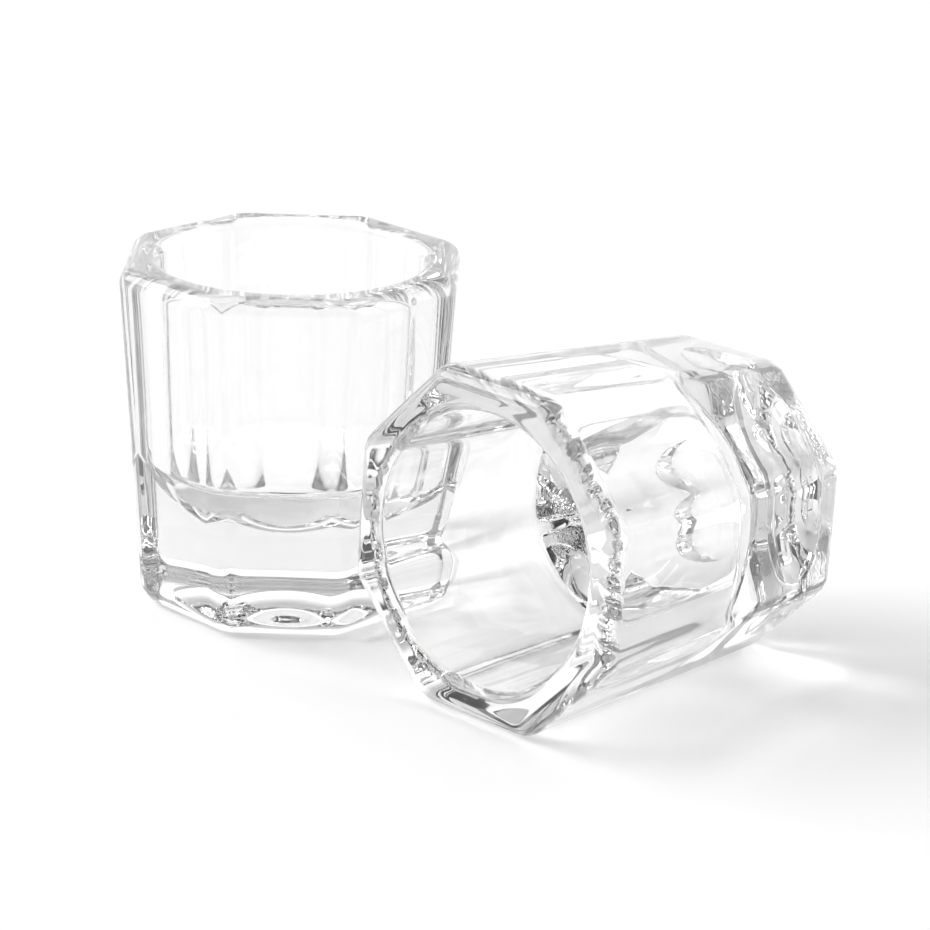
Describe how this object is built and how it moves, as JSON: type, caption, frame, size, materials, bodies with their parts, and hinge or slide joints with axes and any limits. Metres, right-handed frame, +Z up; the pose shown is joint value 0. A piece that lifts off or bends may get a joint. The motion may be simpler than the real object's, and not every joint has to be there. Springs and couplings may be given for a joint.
{
  "type": "dappen dish pair",
  "caption": "Clear pressed-glass octagonal dappen dishes for nail liquid and powder, each a round well over a thick solid base, laid out standing and lying side by side.",
  "frame": {"origin": "on the table, at the middle of the footprint that the two dishes share", "axes": "+Z up from the table, X from the standing dish across to the lying one, -Y the way the lying dish's mouth faces"},
  "size_m": [0.0696, 0.0423, 0.0354],
  "materials": {
    "clear_glass": "polished"
  },
  "bodies": {
    "standing_dish": {"standing_dish": "clear_glass"},
    "lying_dish": {"lying_dish": "clear_glass"}
  },
  "joints": [
    {"name": "lying_dish_lift", "type": "slide", "parent": "standing_dish", "child": "lying_dish", "axis": [0, 0, 1], "range_m": [0, 0.045]}
  ]
}
